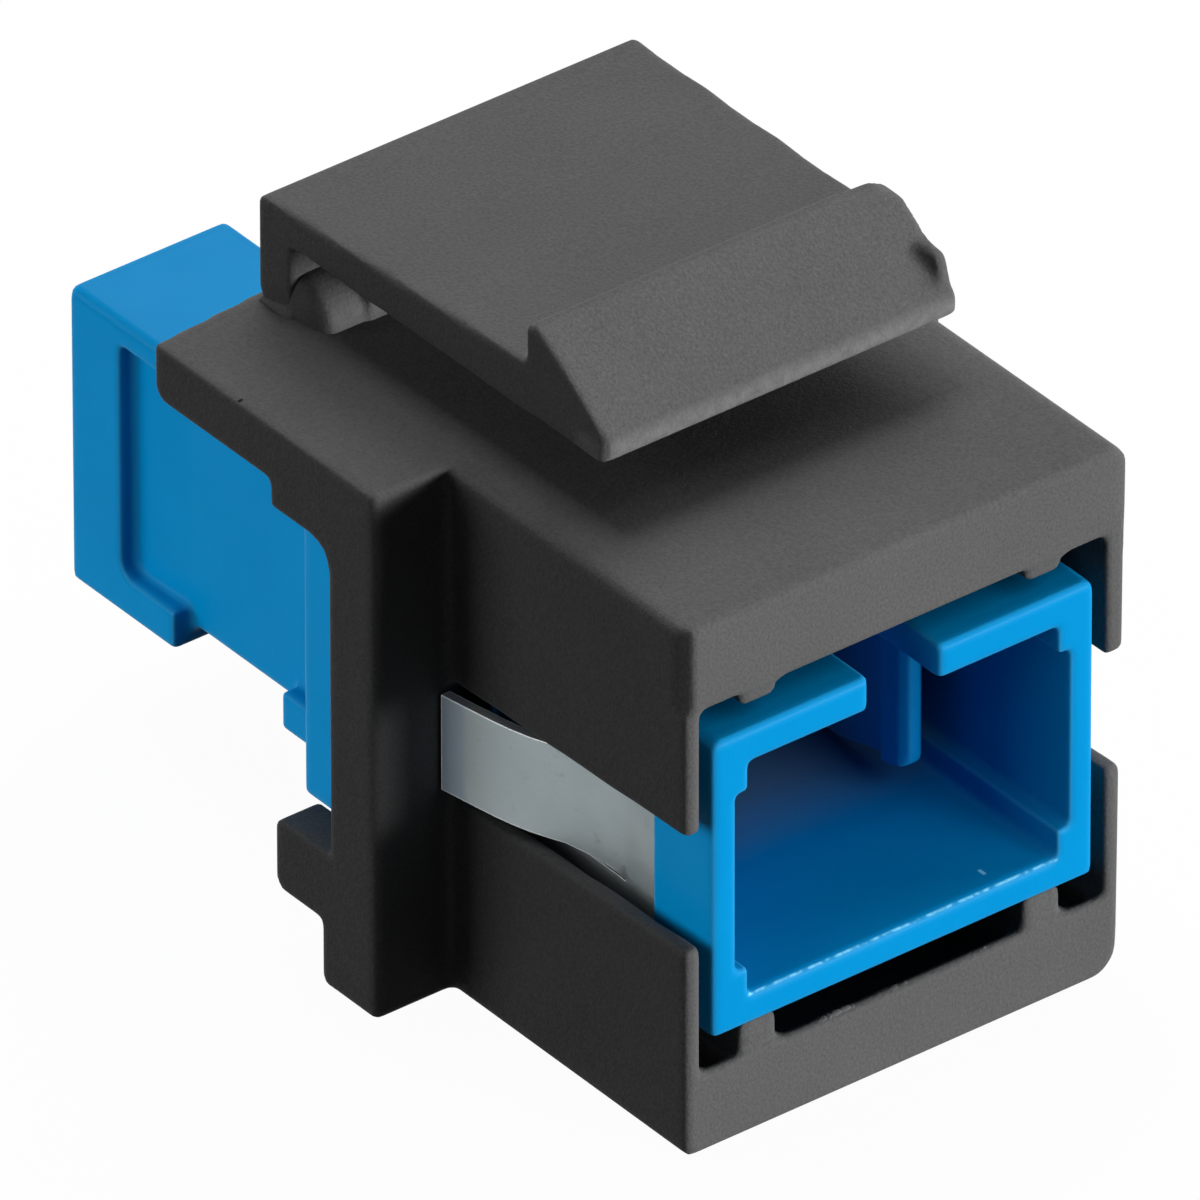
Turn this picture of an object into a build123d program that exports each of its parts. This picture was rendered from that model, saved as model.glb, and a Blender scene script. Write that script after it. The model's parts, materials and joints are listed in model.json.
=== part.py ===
# A simplex fibre coupler in a snap-in housing for a wall plate or patch panel.
# Lengths are millimetres. X runs across, Y from the front mouth to the rear one, Z up.
# The origin is the middle of the alignment sleeve, on the fibre axis.
import os
from math import radians, sin

from build123d import *

# Blue coupler body, two equal halves welded at the middle of the flange
ADAPTER_LENGTH = 27.8
ADAPTER_WIDTH = 12.7
ADAPTER_HEIGHT = 9.3
SHELL_SIDE_WALL = 0.8
SHELL_TOP_WALL = 1.05
SHELL_FLOOR_WALL = 0.95
SHELL_ROUND = 0.28
SHELL_FLOOR_ROUND = 0.12
FLANGE_SPAN = 15.6
FLANGE_THICKNESS = 3.6
COLLAR_LENGTH = 4.5
POCKET_START = 2.2
CLIP_POCKET_START = 2.6
POCKET_DEPTH = 0.5
POCKET_ROUND = 0.5
POCKET_TOP_ROUND = 0.18
RECESS_DEPTH = 0.6
RECESS_LENGTH = 4.7
RECESS_FOOT = 0.35
BAND_TOP = 1.2
TOP_RAIL = 0.8
KEYWAY_WIDTH = 2.35
KEYWAY_LENGTH = 9.0
RAIL_WIDTH = 0.38
RAIL_HEIGHT = 0.85
MOUTH_ROUND = 0.16

# Inner parts
SLEEVE_BORE = 2.5
SLEEVE_WALL = 0.35
SLEEVE_LENGTH = 11.4
SLEEVE_SLOT = 0.6
SLEEVE_CHAMFER = 0.12
SLEEVE_CLEARANCE = 0.05
HOLDER_TUBE_WALL = 0.6
HOLDER_LIP = 0.75
HOLDER_LIP_BORE = 3.0
HOLDER_PLATE = 1.15
HOLDER_SEAT = 0.35
HOLDER_CLEARANCE = 0.05
HOOK_REACH = 9.6
HOOK_HEIGHT = 4.9
HOOK_ROOT_HEIGHT = 6.6
HOOK_FLARE = 0.26
HOOK_ARM = 0.45
HOOK_WALL_GAP = 1.3
HOOK_HEAD = 1.4
HOOK_CATCH = 0.4
HOOK_LEAD = 0.35
HOOK_ROUND = 0.4

# Spring clip, one bent strip around the floor and both sides
CLIP_STEEL = 0.3
CLIP_FRONT = 2.65
CLIP_EDGE_GAP = 0.1
CLIP_CORNER = 0.42
CLIP_TOP_CORNER = 0.12
TAB_HEIGHT = 3.0
TAB_ROOT_HEIGHT = 3.6
TAB_ROOT = 4.1
TAB_SLOT = 0.1
TAB_NECK = 1.9
TAB_REACH = 1.27
TAB_END_GAP = 0.1

# Snap-in housing
SIDE_CLEARANCE = 0.4
TOP_CLEARANCE = 0.7
HOUSING_WALL = 0.5
HOUSING_ROOF = 2.6
HOUSING_FLOOR = 2.48
HOUSING_ROUND_LEFT = 0.3
HOUSING_ROUND_RIGHT = 0.85
HOUSING_TOP_ROUND = 0.28
HOUSING_TOP_ROUND_RIGHT = 0.5
BLUNT_WIDTH = 0.25
BLUNT_LENGTH = 0.5
RIGHT_WALL_TUCK = 0.05
RIGHT_WALL_LEAN = 0.25
HOUSING_EDGE = 0.12
EAR_LEFT = 9.75
EAR_RIGHT = 9.2
EAR_THICKNESS = 2.0
EAR_ROUND = 0.15
WINDOW_BOTTOM = 1.55
WINDOW_TOP = 2.05
WINDOW_SLOPE = 0.33
WINDOW_ROUND = 0.15
RIB_WIDTH = 1.25
RIB_HEIGHT = 0.95
RIB_CENTRE = 4.74
RIB_ROUND = 0.25
ROOF_RIB_HEIGHT = 0.5
SLAB_THICKNESS = 1.7
SLAB_REACH = 7.75
SLAB_CORNER = 0.3
SLAB_RIGHT = 9.2
SLAB_ROUND = 0.45
GUSSET_DROP = 0.85
GUSSET_REACH = 2.5
GUSSET_ROUND = 0.8
SILL_BOTTOM = 2.0
SILL_TOP = 4.2
SILL_REACH = 2.35
SILL_FLANGE_GAP = 0.5
SILL_ROUND = 0.4
SILL_TOP_ROUND = 0.2
PAD_TOP = 3.15
PAD_STEP = 0.35
PAD_ROUND = 0.3

# Latch arm, sprung at the foot of its post
ARM_WIDTH_REAR = 12.5
ARM_WIDTH_TIP = 11.7
ARM_SHIFT = 0.08
POST_THICKNESS = 1.4
POST_SETBACK = 0.12
PIVOT_HEIGHT = 0.45
SEAT_CLEARANCE = 0.1
ARM_TOP_REAR = 3.18
ARM_TOP_RIDGE = 3.5
ARM_THICKNESS = 1.1
RIDGE_SETBACK = 8.6
RIDGE_HEIGHT = 1.25
RIDGE_TOP = 0.35
TIP_SETBACK = 5.3
TIP_UNDER = 1.87
TIP_NOSE = 0.73
RAMP_BULGE = 0.06
RIDGE_FOOT = 0.3
LUG_WIDTH = 0.4
LUG_HEIGHT = 3.67
LUG_SETBACK = 0.53
LUG_CORNER = 0.3
LUG_LENGTH = 1.3
LUG_RISE = 0.1
TIP_CORNER = 0.22
CREST_FALL_START = 1.9
CREST_FALL_BEND = 0.45
CREST_FALL_MIDDLE = 0.13
CREST_FALL_END = 0.35
ARM_CORNER = 0.25
PRESS_ANGLE = 7.0
BEAD_REACH = 1.3
BEAD_INSET = 1.3
BEAD_LIFT = 0.06

# Places worked out from the sizes
FRONT = -ADAPTER_LENGTH / 2
SIDE = ADAPTER_WIDTH / 2
TOP = ADAPTER_HEIGHT / 2
BOTTOM = -ADAPTER_HEIGHT / 2
SOCKET_SIDE = SIDE - SHELL_SIDE_WALL
SOCKET_TOP = TOP - SHELL_TOP_WALL
SOCKET_FLOOR = BOTTOM + SHELL_FLOOR_WALL
SLEEVE_RADIUS = SLEEVE_BORE / 2 + SLEEVE_WALL
HOLDER_BORE = SLEEVE_RADIUS + SLEEVE_CLEARANCE
HOLDER_RADIUS = HOLDER_BORE + HOLDER_TUBE_WALL
HOLDER_END = SLEEVE_LENGTH / 2 + SLEEVE_CLEARANCE + HOLDER_LIP
BASE = BOTTOM - RIB_HEIGHT - HOUSING_FLOOR
ROOF = TOP + TOP_CLEARANCE + ROOF_RIB_HEIGHT + HOUSING_ROOF
CEILING = ROOF - HOUSING_ROOF
FLOOR = BASE + HOUSING_FLOOR
CAVITY_SIDE = SIDE + SIDE_CLEARANCE
HOUSING_WIDTH = 2 * (CAVITY_SIDE + HOUSING_WALL)
EAR_BACK = -FLANGE_THICKNESS / 2
EAR_FACE = EAR_BACK - EAR_THICKNESS
HOUSING_FACE = FRONT
HOUSING_FRONT = EAR_FACE - HOUSING_FACE
SLAB_BACK = EAR_BACK + SLAB_REACH
SLAB_UNDER = ROOF - SLAB_THICKNESS
SLAB_SPAN = EAR_LEFT + SLAB_RIGHT
SLAB_SHIFT = (SLAB_RIGHT - EAR_LEFT) / 2
POST_BACK = SLAB_BACK - POST_SETBACK
PIVOT_Y = POST_BACK - POST_THICKNESS / 2
PIVOT_Z = ROOF + PIVOT_HEIGHT


def block(x, y, z):
    """A box between two corners, each axis given as (low, high)."""
    size = [high - low for low, high in (x, y, z)]
    middle = [(high + low) / 2 for low, high in (x, y, z)]
    return Pos(*middle) * Box(*size)


def both_sides(piece):
    """The piece and its mirror image across the middle plane."""
    return piece + mirror(piece, about=Plane.YZ)


def across(points, half_width):
    """A closed outline of (y, z) points carried from side to side."""
    outline = make_face(Polyline(*[(0, y, z) for y, z in points], close=True))
    return extrude(outline, amount=half_width, dir=(1, 0, 0), both=True)


def edges_at(piece, direction, **limits):
    """Edges along a direction whose middle lies inside the limits given for x, y or z."""
    chosen = []
    for edge in piece.edges().filter_by(direction):
        middle = edge.center()
        place = {"x": middle.X, "y": middle.Y, "z": middle.Z}
        if all(low <= place[axis] <= high for axis, (low, high) in limits.items()):
            chosen.append(edge)
    return chosen


def near(value, reach=0.02):
    return value - reach, value + reach


def side_pocket(setback):
    """The ramped seat for the clip's front edge in one side of a shell."""
    start, end = FRONT + setback, FRONT + COLLAR_LENGTH
    low, high = BOTTOM + BAND_TOP, TOP - TOP_RAIL
    outline = Polyline(
        (SIDE + 1, start), (SIDE - POCKET_DEPTH, start), (SIDE - RECESS_DEPTH, end), (SIDE + 1, end), close=True
    )
    pocket = Pos(0, 0, low) * extrude(make_face(outline), amount=high - low)
    pocket = fillet(edges_at(pocket, Axis.X, y=near(start), z=near(low)), POCKET_ROUND)
    return fillet(edges_at(pocket, Axis.X, y=near(start), z=near(high)), POCKET_TOP_ROUND)


def clip_recess():
    """The band around floor and sides that holds the clip, with a rounded foot at the collar."""
    start = FRONT + COLLAR_LENGTH
    ring = block((-SIDE - 1, SIDE + 1), (start, start + RECESS_LENGTH), (BOTTOM - 1, TOP - TOP_RAIL))
    core = block(
        (-SIDE + RECESS_DEPTH, SIDE - RECESS_DEPTH), (start - 1, 0), (BOTTOM + RECESS_DEPTH, TOP)
    )
    recess = ring - core
    foot = edges_at(recess, Axis.X, y=near(start), z=near(BOTTOM + RECESS_DEPTH))
    return fillet(foot, RECESS_FOOT)


def behind_recess():
    """The sides stay recessed from the clip to the flange above a band at the floor."""
    start = FRONT + COLLAR_LENGTH + RECESS_LENGTH
    return block((SIDE - RECESS_DEPTH, SIDE + 1), (start, EAR_BACK), (BOTTOM + BAND_TOP, TOP - TOP_RAIL))


def socket_space():
    """The plug's space, with a guide rail left in each of its four corners."""
    space = block((-SOCKET_SIDE, SOCKET_SIDE), (FRONT - 1, 0), (SOCKET_FLOOR, SOCKET_TOP))
    for low, high in ((SOCKET_FLOOR, SOCKET_FLOOR + RAIL_HEIGHT), (SOCKET_TOP - RAIL_HEIGHT, SOCKET_TOP)):
        space -= both_sides(block((SOCKET_SIDE - RAIL_WIDTH, SOCKET_SIDE), (FRONT - 1, 0), (low, high)))
    return space


def holder_seat():
    """The wider step at the weld plane that traps the sleeve holder's plate."""
    reach = HOLDER_PLATE + HOLDER_CLEARANCE
    side = SOCKET_SIDE + HOLDER_SEAT
    return block((-side, side), (-reach, 1), (SOCKET_FLOOR - HOLDER_SEAT, SOCKET_TOP + HOLDER_SEAT))


def half_shell(pocket_start):
    """One half of the coupler's body, drawn as the front one."""
    shell = block((-SIDE, SIDE), (FRONT, 0), (BOTTOM, TOP))
    shell = fillet(edges_at(shell, Axis.Y, z=near(TOP)), SHELL_ROUND)
    shell = fillet(edges_at(shell, Axis.Y, z=near(BOTTOM)), SHELL_FLOOR_ROUND)
    flange = block((-FLANGE_SPAN / 2, FLANGE_SPAN / 2), (EAR_BACK, 0), (BOTTOM, TOP))
    shell += fillet(edges_at(flange, Axis.Y), SHELL_ROUND)
    shell -= both_sides(side_pocket(pocket_start) + behind_recess()) + clip_recess()
    shell -= socket_space() + holder_seat()
    keyway = block((-KEYWAY_WIDTH / 2, KEYWAY_WIDTH / 2), (FRONT - 1, FRONT + KEYWAY_LENGTH), (0, TOP + 1))
    shell -= keyway
    mouth = [edge for edge in shell.edges() if abs(edge.center().Y - FRONT) < 0.01 and edge.length > 1]
    return fillet(mouth, MOUTH_ROUND)


def alignment_sleeve():
    sleeve = Rot(90, 0, 0) * Cylinder(SLEEVE_RADIUS, SLEEVE_LENGTH)
    sleeve -= Rot(90, 0, 0) * Cylinder(SLEEVE_BORE / 2, SLEEVE_LENGTH)
    sleeve = chamfer(sleeve.edges().filter_by(GeomType.CIRCLE), SLEEVE_CHAMFER)
    slot = block((-SLEEVE_SLOT / 2, SLEEVE_SLOT / 2), (-SLEEVE_LENGTH, SLEEVE_LENGTH), (0, SLEEVE_RADIUS + 1))
    return sleeve - slot


def hook():
    """One sprung arm that catches the plug's shoulder, with a sloped nose."""
    outer = SOCKET_SIDE - HOOK_WALL_GAP
    inner = outer - HOOK_ARM
    tip = inner - HOOK_CATCH
    root, end = -HOLDER_PLATE / 2, -HOOK_REACH
    neck = end + HOOK_HEAD
    outline = Polyline(
        (outer, root), (outer, end + HOOK_LEAD), (outer - HOOK_LEAD, end), (inner - HOOK_CATCH / 2, end),
        (tip, end + HOOK_LEAD), (tip, neck - HOOK_LEAD), (inner, neck), (inner, root), close=True
    )
    arm = Pos(0, 0, -HOOK_ROOT_HEIGHT / 2) * extrude(make_face(outline), amount=HOOK_ROOT_HEIGHT)
    low, high = HOOK_HEIGHT / 2, HOOK_ROOT_HEIGHT / 2
    spread = end + (high - low) / HOOK_FLARE
    arm &= across([(end, -low), (spread, -high), (0, -high), (0, high), (spread, high), (end, low)], SIDE)
    corners = [edge for edge in arm.edges().filter_by(Axis.X) if edge.center().Y < neck]
    return fillet(corners, HOOK_ROUND)


def front_holder():
    side = SOCKET_SIDE + HOLDER_SEAT - HOLDER_CLEARANCE
    low = SOCKET_FLOOR - HOLDER_SEAT + HOLDER_CLEARANCE
    high = SOCKET_TOP + HOLDER_SEAT - HOLDER_CLEARANCE
    holder = block((-side, side), (-HOLDER_PLATE, 0), (low, high))
    tube = Rot(90, 0, 0) * Cylinder(HOLDER_RADIUS, HOLDER_END, align=(Align.CENTER, Align.CENTER, Align.MIN))
    holder += tube
    holder += both_sides(hook())
    room = HOLDER_END - HOLDER_LIP
    holder -= Rot(90, 0, 0) * Cylinder(HOLDER_BORE, room, align=(Align.CENTER, Align.CENTER, Align.MIN))
    holder -= Rot(90, 0, 0) * Cylinder(HOLDER_LIP_BORE / 2, 2 * HOLDER_END)
    rim = [
        edge for edge in holder.edges().filter_by(GeomType.CIRCLE)
        if abs(edge.center().Y + HOLDER_END) < 0.01
    ]
    return chamfer(rim, SLEEVE_CHAMFER)


def clip_side():
    """One side of the clip: a flat plate with its spring tab lanced and bent outwards."""
    inner = SIDE - RECESS_DEPTH
    low, high = BOTTOM + BAND_TOP + CLIP_EDGE_GAP, TOP - TOP_RAIL - CLIP_EDGE_GAP
    rear = FRONT + COLLAR_LENGTH + RECESS_LENGTH - CLIP_EDGE_GAP
    bend = FRONT + COLLAR_LENGTH
    front = FRONT + CLIP_FRONT
    ramp = (RECESS_DEPTH - POCKET_DEPTH) * (bend - front) / (COLLAR_LENGTH - CLIP_POCKET_START)
    outline = Polyline(
        (inner, rear), (inner, bend), (inner + ramp, front),
        (inner + ramp + CLIP_STEEL, front), (inner + CLIP_STEEL, bend), (inner + CLIP_STEEL, rear), close=True
    )
    plate = Pos(0, 0, low) * extrude(make_face(outline), amount=high - low)
    plate = fillet(edges_at(plate, Axis.X, y=near(front), z=near(low)), CLIP_CORNER)
    plate = fillet(edges_at(plate, Axis.X, y=near(front), z=near(high)), CLIP_TOP_CORNER)
    wall = block((inner, inner + CLIP_STEEL), (bend + CLIP_EDGE_GAP, rear), (BOTTOM + RECESS_DEPTH, high))
    plate += wall
    root = FRONT + TAB_ROOT
    half = TAB_ROOT_HEIGHT / 2 + TAB_SLOT
    plate -= block((inner - 1, inner + 2), (root, rear + 1), (-half, half))
    end = EAR_FACE - TAB_END_GAP
    outer = SIDE + TAB_REACH - CLIP_STEEL
    steel = CLIP_STEEL
    lean = (outer - inner) / (end - root)
    slope = (RECESS_DEPTH - POCKET_DEPTH) / (COLLAR_LENGTH - CLIP_POCKET_START)
    seat = inner + slope * (bend - root + steel)
    middle = inner + 0.62 * (outer - inner)
    flare = ((0, 1), (lean * 0.7, 1))
    curve = Spline((seat, root - steel), (middle, (root + end) / 2), (outer, end), tangents=flare)
    back = Spline(
        (seat + steel, root - steel), (middle + steel, (root + end) / 2), (outer + steel, end), tangents=flare
    )
    tab_face = make_face([curve, back, Line(curve @ 0, back @ 0), Line(curve @ 1, back @ 1)])
    tab = Pos(0, 0, -TAB_ROOT_HEIGHT / 2) * extrude(tab_face, amount=TAB_ROOT_HEIGHT)
    wide, narrow = TAB_ROOT_HEIGHT / 2, TAB_HEIGHT / 2
    neck = root + TAB_NECK
    taper = across(
        [(root - 1, -wide), (root, -wide), (neck, -narrow), (end, -narrow),
         (end, narrow), (neck, narrow), (root, wide), (root - 1, wide)],
        HOUSING_WIDTH
    )
    return plate + (tab & taper)


def retaining_clip():
    inner = SIDE - RECESS_DEPTH
    front = FRONT + COLLAR_LENGTH + RECESS_FOOT + CLIP_EDGE_GAP
    rear = FRONT + COLLAR_LENGTH + RECESS_LENGTH - CLIP_EDGE_GAP
    under = BOTTOM + RECESS_DEPTH
    reach = inner + CLIP_STEEL
    floor = block((-reach, reach), (front, rear), (under - CLIP_STEEL, under))
    floor = fillet(edges_at(floor, Axis.Y, z=near(under - CLIP_STEEL)), CLIP_STEEL * 0.9)
    return floor + both_sides(clip_side())


def rib(centre, low, high, top_round):
    """A long runner on the floor or the ceiling of the cavity."""
    width = (centre - RIB_WIDTH / 2, centre + RIB_WIDTH / 2)
    bar = block(width, (HOUSING_FACE + HOUSING_EDGE, EAR_BACK), (low, high))
    edge_z = high if top_round else low
    return fillet(edges_at(bar, Axis.Y, z=near(edge_z)), RIB_ROUND)


def housing_outside():
    half = HOUSING_WIDTH / 2
    foot = half - RIGHT_WALL_TUCK
    profile = Polyline(
        (-half, 0, BASE), (foot, 0, BASE), (foot + RIGHT_WALL_LEAN, 0, ROOF), (-half, 0, ROOF), close=True
    )
    body = Pos(0, EAR_BACK, 0) * extrude(make_face(profile), amount=EAR_BACK - HOUSING_FACE, dir=(0, -1, 0))
    body = fillet(edges_at(body, Axis.Y, x=near(-half), z=near(BASE)), HOUSING_ROUND_LEFT)
    body = fillet(edges_at(body, Axis.Y, x=near(foot), z=near(BASE)), HOUSING_ROUND_RIGHT)
    body = fillet(edges_at(body, Axis.Y, x=near(-half), z=near(ROOF)), HOUSING_TOP_ROUND)
    body = fillet(edges_at(body, Axis.Y, x=(half, half + 1), z=near(ROOF)), HOUSING_TOP_ROUND_RIGHT)
    rim = [edge for edge in body.edges() if abs(edge.center().Y - HOUSING_FACE) < 0.01]
    body = fillet(rim, HOUSING_EDGE)
    blunt = Polyline(
        (-half - 1, HOUSING_FACE - 1), (BLUNT_WIDTH - half, HOUSING_FACE - 1), (BLUNT_WIDTH - half, HOUSING_FACE),
        (-half, HOUSING_FACE + BLUNT_LENGTH), (-half - 1, HOUSING_FACE + BLUNT_LENGTH), close=True
    )
    body -= Pos(0, 0, CEILING) * extrude(make_face(blunt), amount=HOUSING_ROOF + 1)
    ears = block((-EAR_LEFT, EAR_RIGHT), (EAR_FACE, EAR_BACK), (BASE, ROOF))
    ears = fillet(edges_at(ears, Axis.Y) + edges_at(ears, Axis.Z, y=near(EAR_FACE)), EAR_ROUND)
    pad = block((-EAR_LEFT, EAR_RIGHT), (EAR_BACK, EAR_BACK + PAD_STEP), (BASE, BASE + PAD_TOP))
    pad = fillet(edges_at(pad, Axis.X, y=near(EAR_BACK + PAD_STEP), z=near(BASE)), PAD_ROUND)
    return body + ears + pad


def roof_slab():
    """The slab behind the ears that carries the latch arm's post."""
    half = SLAB_SPAN / 2
    left, right = ARM_SHIFT - ARM_WIDTH_REAR / 2, ARM_SHIFT + ARM_WIDTH_REAR / 2
    plan = Polyline(
        (-EAR_LEFT, EAR_BACK), (SLAB_RIGHT, EAR_BACK), (SLAB_RIGHT, SLAB_BACK - SLAB_CORNER), (right, SLAB_BACK),
        (left, SLAB_BACK), (-EAR_LEFT, SLAB_BACK - SLAB_CORNER), close=True
    )
    slab = Pos(0, 0, SLAB_UNDER) * extrude(make_face(plan), amount=SLAB_THICKNESS)
    rear_edges = [
        edge for edge in slab.edges()
        if edge.center().Y > SLAB_BACK - SLAB_CORNER and abs(edge.center().Z - SLAB_UNDER) < 0.01
    ]
    slab = fillet(rear_edges, SLAB_ROUND)
    reach, drop = EAR_BACK + GUSSET_REACH, SLAB_UNDER - GUSSET_DROP
    gusset = across([(EAR_BACK, SLAB_UNDER), (reach, SLAB_UNDER), (reach, drop), (EAR_BACK, drop)], half)
    heel = across([(EAR_BACK, drop), (EAR_BACK + GUSSET_ROUND, drop), (EAR_BACK, drop - GUSSET_ROUND)], half)
    hollow = Pos(0, EAR_BACK + GUSSET_ROUND, drop - GUSSET_ROUND) * Rot(0, 90, 0)
    heel -= hollow * Cylinder(GUSSET_ROUND, 2 * SLAB_SPAN)
    return slab + Pos(SLAB_SHIFT, 0, 0) * (gusset + heel)


def rear_sill():
    """The bar behind the ears at the floor, notched for the coupler's flange."""
    back = EAR_BACK + SILL_REACH
    low, high = BASE + SILL_BOTTOM, BASE + SILL_TOP
    sill = block((-EAR_LEFT, EAR_RIGHT), (EAR_BACK, back), (low, high))
    sill = fillet(edges_at(sill, Axis.X, y=near(back), z=near(low)), SILL_ROUND)
    sill = fillet(edges_at(sill, Axis.X, y=near(back), z=near(high)), SILL_TOP_ROUND)
    notch_side = FLANGE_SPAN / 2 + SILL_FLANGE_GAP
    notch = block((-notch_side, notch_side), (EAR_BACK, back + 1), (FLOOR, high + 1))
    return sill - fillet(edges_at(notch, Axis.Y, z=near(FLOOR)), SILL_ROUND)


def side_windows():
    """Both side openings in one cut, sloping down towards the ears."""
    lead = WINDOW_SLOPE / HOUSING_FRONT
    low, high = -WINDOW_BOTTOM, WINDOW_TOP
    return across(
        [(HOUSING_FACE - 1, low + lead), (EAR_FACE, low - WINDOW_SLOPE), (EAR_FACE, high - WINDOW_SLOPE),
         (HOUSING_FACE - 1, high + lead)],
        HOUSING_WIDTH
    )


def keystone_housing():
    housing = housing_outside() + roof_slab() + rear_sill()
    cavity = block((-CAVITY_SIDE, CAVITY_SIDE), (HOUSING_FACE - 1, SLAB_BACK + 1), (FLOOR, CEILING))
    housing -= cavity + side_windows()
    tips = edges_at(housing, Axis.X, y=near(HOUSING_FACE), z=(-WINDOW_BOTTOM - 0.1, WINDOW_TOP + 0.1))
    housing = fillet(tips, WINDOW_ROUND)
    for side in (-1, 1):
        housing += rib(side * RIB_CENTRE, FLOOR, BOTTOM, True)
        housing += rib(side * RIB_CENTRE, CEILING - ROOF_RIB_HEIGHT, CEILING, False)
    seat = Pos(ARM_SHIFT, PIVOT_Y, PIVOT_Z) * Rot(0, 90, 0) * Cylinder(
        POST_THICKNESS / 2 + SEAT_CLEARANCE, ARM_WIDTH_REAR + 2 * SEAT_CLEARANCE
    )
    return housing - seat


def arm_outline():
    """The latch arm seen from the side: post, flat arm, ridge and the ramp down to the tip."""
    ridge = HOUSING_FACE + RIDGE_SETBACK
    tip = HOUSING_FACE + TIP_SETBACK
    post_front = POST_BACK - POST_THICKNESS
    top_rear, top_ridge = ROOF + ARM_TOP_REAR, ROOF + ARM_TOP_RIDGE
    slope = (top_ridge - top_rear) / (POST_BACK - ridge)
    under_rear = top_rear + slope * POST_THICKNESS - ARM_THICKNESS
    crest = top_ridge + RIDGE_HEIGHT
    nose_top = ROOF + TIP_UNDER + TIP_NOSE
    ramp = ThreePointArc(
        (0, ridge - RIDGE_TOP, crest),
        (0, (ridge - RIDGE_TOP + tip) / 2 - RAMP_BULGE, (crest + nose_top) / 2 + RAMP_BULGE),
        (0, tip, nose_top),
    )
    path = [
        Line((0, POST_BACK, PIVOT_Z), (0, POST_BACK, top_rear)),
        Line((0, POST_BACK, top_rear), (0, ridge, top_ridge)),
        Line((0, ridge, top_ridge), (0, ridge, crest)),
        Line((0, ridge, crest), (0, ridge - RIDGE_TOP, crest)),
        ramp,
        Line((0, tip, nose_top), (0, tip, ROOF + TIP_UNDER)),
        Line((0, tip, ROOF + TIP_UNDER), (0, post_front, under_rear)),
        Line((0, post_front, under_rear), (0, post_front, PIVOT_Z)),
        ThreePointArc((0, post_front, PIVOT_Z), (0, PIVOT_Y, PIVOT_Z - POST_THICKNESS / 2), (0, POST_BACK, PIVOT_Z)),
    ]
    return make_face(path)


def root_bead():
    """The rounded swelling in the corner between post and arm, lifted clear of the slab."""
    post_front = POST_BACK - POST_THICKNESS
    half = ARM_WIDTH_REAR / 2 - BEAD_INSET
    ball = Pos(0, post_front, ROOF) * Rot(0, 90, 0) * Cylinder(BEAD_REACH, 2 * half)
    tilt = radians(PRESS_ANGLE)
    low = BEAD_LIFT + (BEAD_REACH + POST_THICKNESS) * sin(tilt)
    keep = across(
        [(post_front - 2 * BEAD_REACH, ROOF + low), (PIVOT_Y, ROOF + low),
         (PIVOT_Y, ROOF + 2 * BEAD_REACH), (post_front - 2 * BEAD_REACH, ROOF + 2 * BEAD_REACH)],
        half
    )
    return ball & keep


def ramp_lug():
    """The narrow flat-topped lug that stands on the ramp at its right end."""
    tip, top = HOUSING_FACE + TIP_SETBACK, ROOF + LUG_HEIGHT
    front = tip + LUG_SETBACK
    side = ARM_SHIFT + ARM_WIDTH_TIP / 2
    outline = across(
        [(front + LUG_LENGTH, top + LUG_RISE), (front, top), (front - LUG_CORNER / 2, top - LUG_CORNER),
         (tip + LUG_CORNER / 4, ROOF + TIP_UNDER + TIP_NOSE / 2), (front + LUG_LENGTH, ROOF + TIP_UNDER + TIP_NOSE)],
        LUG_WIDTH / 2
    )
    return Pos(side - LUG_WIDTH / 2, 0, 0) * outline


def crest_fall():
    """What is cut from the ridge's right end, where its crest falls off."""
    side, crest = ARM_SHIFT + ARM_WIDTH_TIP / 2, ROOF + ARM_TOP_RIDGE + RIDGE_HEIGHT
    outline = Polyline(
        (side - CREST_FALL_START, 0, crest), (side - CREST_FALL_BEND, 0, crest - CREST_FALL_MIDDLE),
        (side, 0, crest - CREST_FALL_END), (side + 1, 0, crest - CREST_FALL_END), (side + 1, 0, crest + 1),
        (side - CREST_FALL_START, 0, crest + 1), close=True
    )
    front = HOUSING_FACE + TIP_SETBACK
    return Pos(0, front, 0) * extrude(make_face(outline), amount=RIDGE_SETBACK, dir=(0, 1, 0))


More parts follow.
